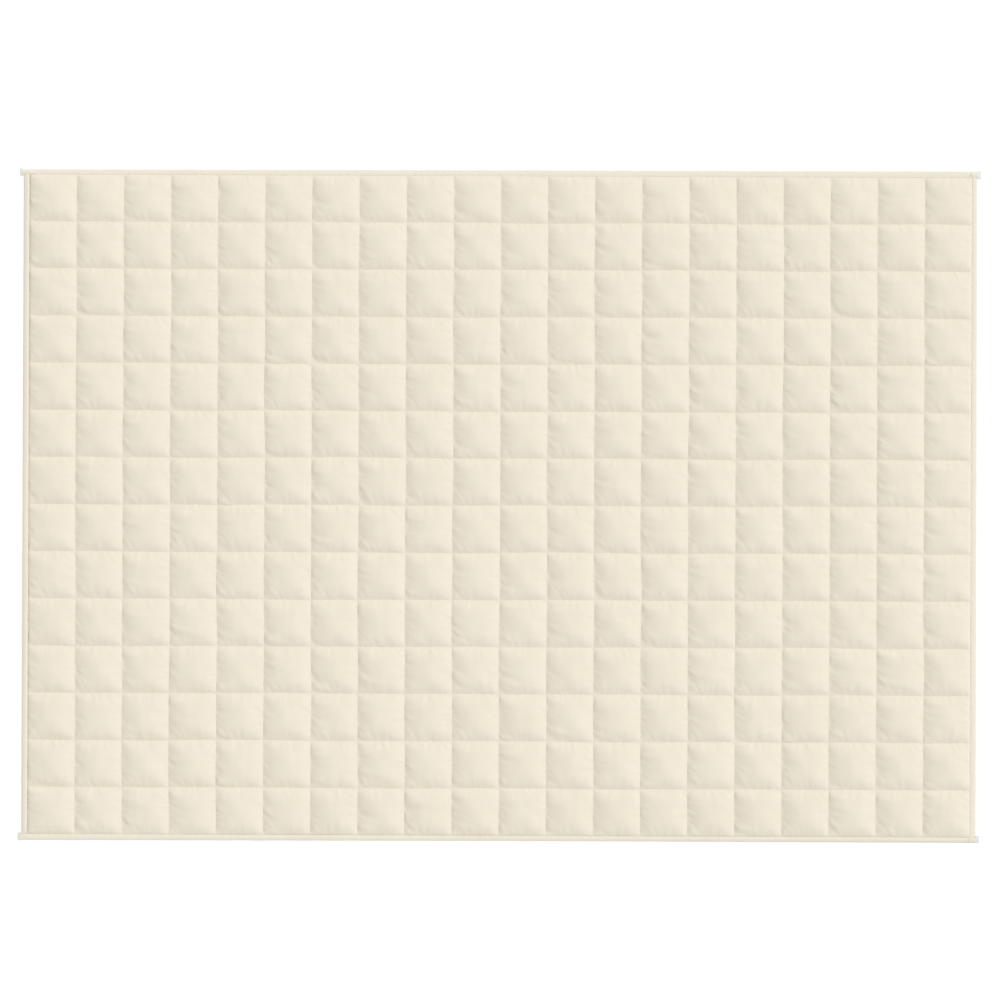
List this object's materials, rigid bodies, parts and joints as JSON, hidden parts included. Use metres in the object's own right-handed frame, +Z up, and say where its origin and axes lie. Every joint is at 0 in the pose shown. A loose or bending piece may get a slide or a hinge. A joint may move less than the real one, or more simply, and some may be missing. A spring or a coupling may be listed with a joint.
{
  "type": "weighted blanket",
  "caption": "Flat rectangular quilted weighted blanket with a square grid of sewn, filled pockets and a folded binding round all sides.",
  "frame": {"origin": "under the middle of the blanket's bounding box, on the surface that it lies on", "axes": "+X along the long side, to the right in the picture; +Y along the short side, to the picture's upper edge; +Z up, out of the blanket's face"},
  "size_m": [2.018, 1.4054, 0.014],
  "materials": {
    "quilt_cloth": "matt, fine plain-weave cream cloth",
    "binding_cloth": "matt, the same cream cloth as a folded binding"
  },
  "bodies": {
    "root": {"quilted_body": "quilt_cloth", "binding_left": "binding_cloth", "binding_right": "binding_cloth", "binding_far": "binding_cloth", "binding_near": "binding_cloth"}
  },
  "joints": []
}
